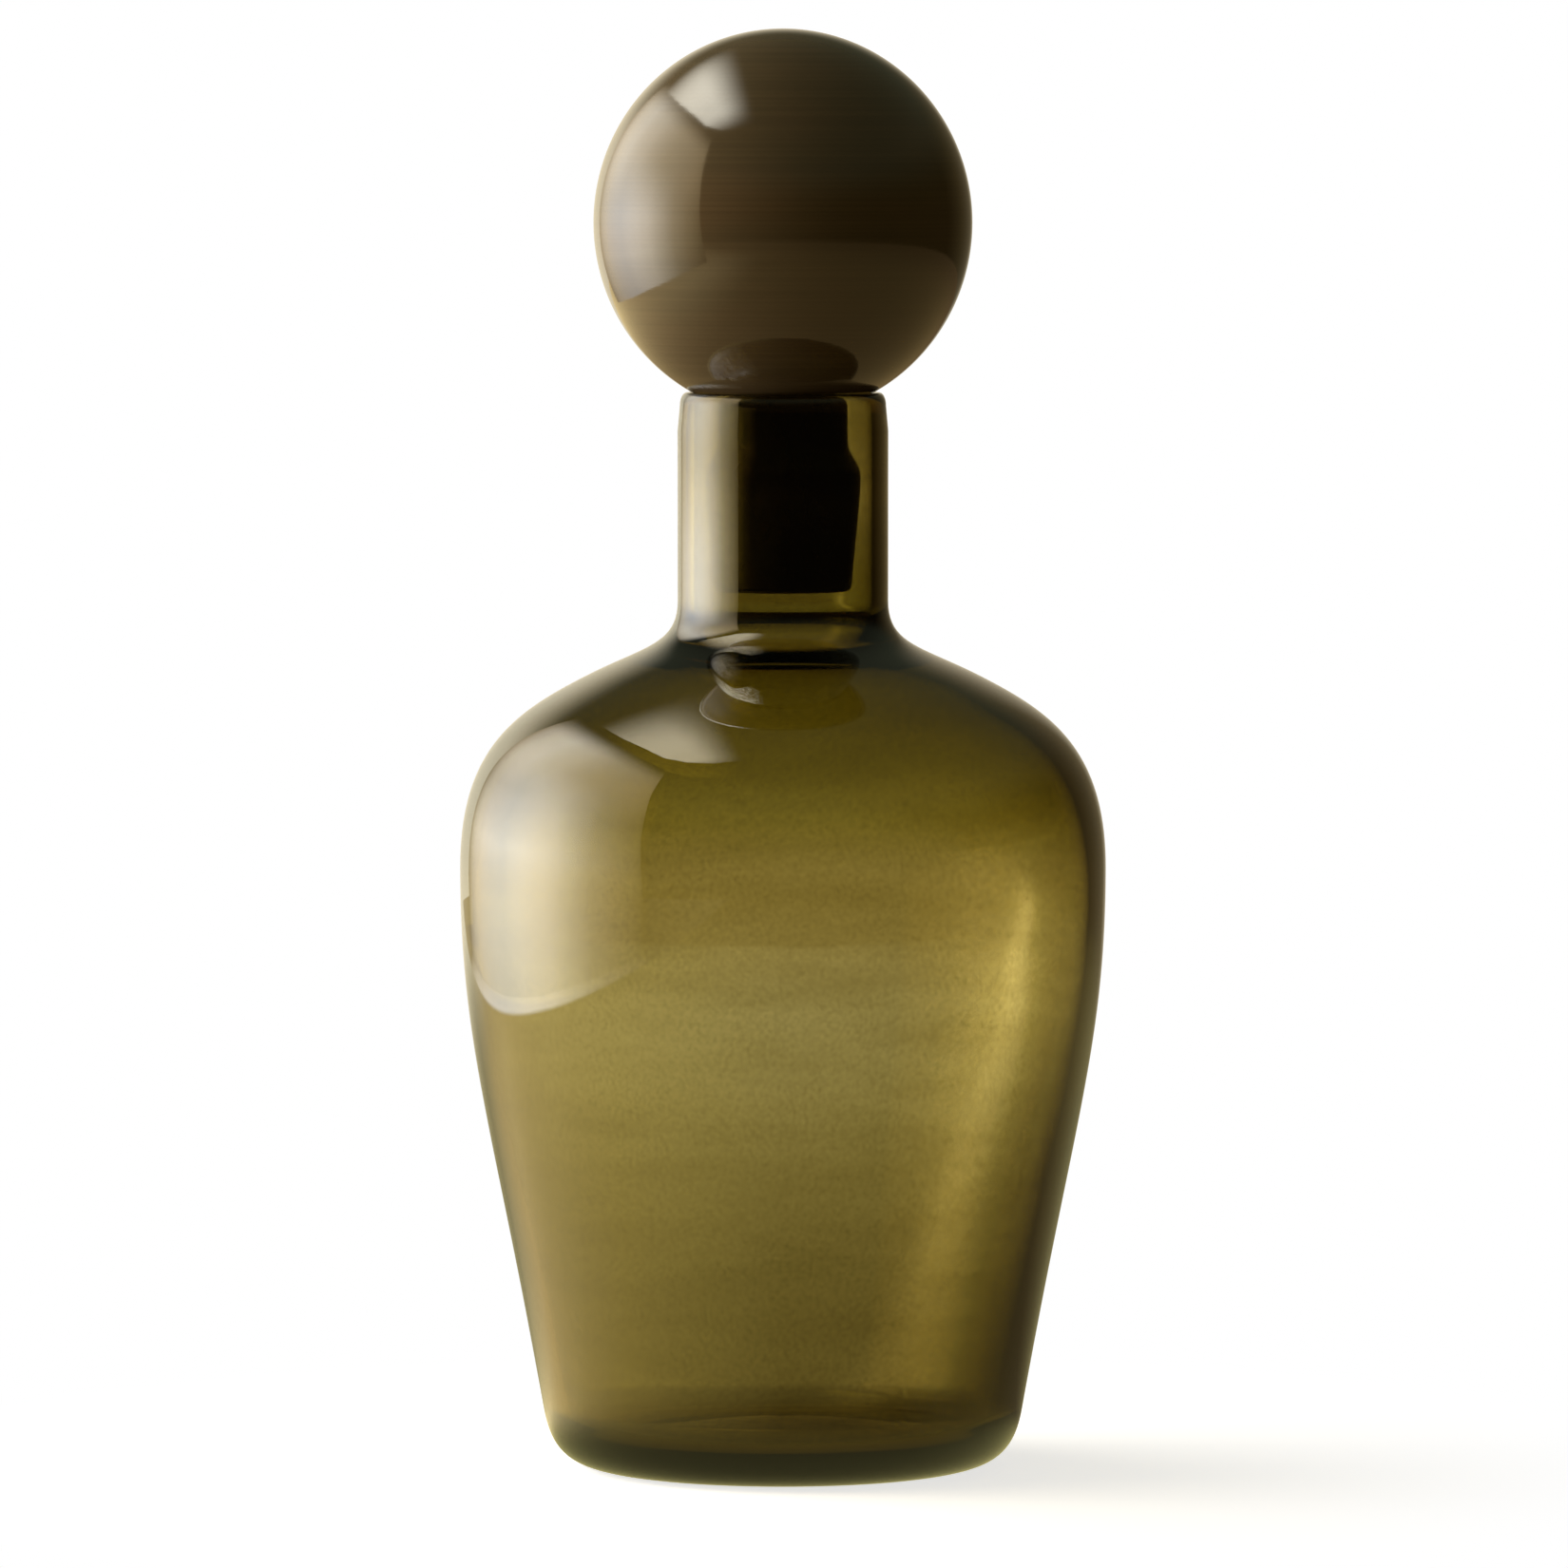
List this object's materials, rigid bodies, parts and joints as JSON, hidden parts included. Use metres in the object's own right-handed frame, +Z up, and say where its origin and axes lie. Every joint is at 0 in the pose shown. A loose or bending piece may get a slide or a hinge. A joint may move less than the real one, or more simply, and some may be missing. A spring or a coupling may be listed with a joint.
{
  "type": "glass decanter",
  "caption": "Blown glass decanter with a tapered round body, sloping shoulder, straight neck and an opaque ball stopper that lifts out.",
  "frame": {"origin": "centre of the flat ring that the bottle stands on, in the plane of that ring", "axes": "+Z up along the bottle's axis of revolution, towards the stopper; +X and +Y are equal, because the decanter is round"},
  "size_m": [0.1258, 0.1258, 0.28],
  "materials": {
    "olive_glass": "fire-polished clear olive glass",
    "taupe_glass": "glossy opaque taupe glass",
    "dark_glass": "glossy dark brown glass"
  },
  "bodies": {
    "bottle": {"bottle": "olive_glass"},
    "stopper": {"stopper_ball": "taupe_glass", "stopper_plug": "dark_glass"}
  },
  "joints": [
    {"name": "stopper_lift", "type": "slide", "parent": "bottle", "child": "stopper", "axis": [0, 0, 1], "range_m": [0, 0.08]}
  ]
}
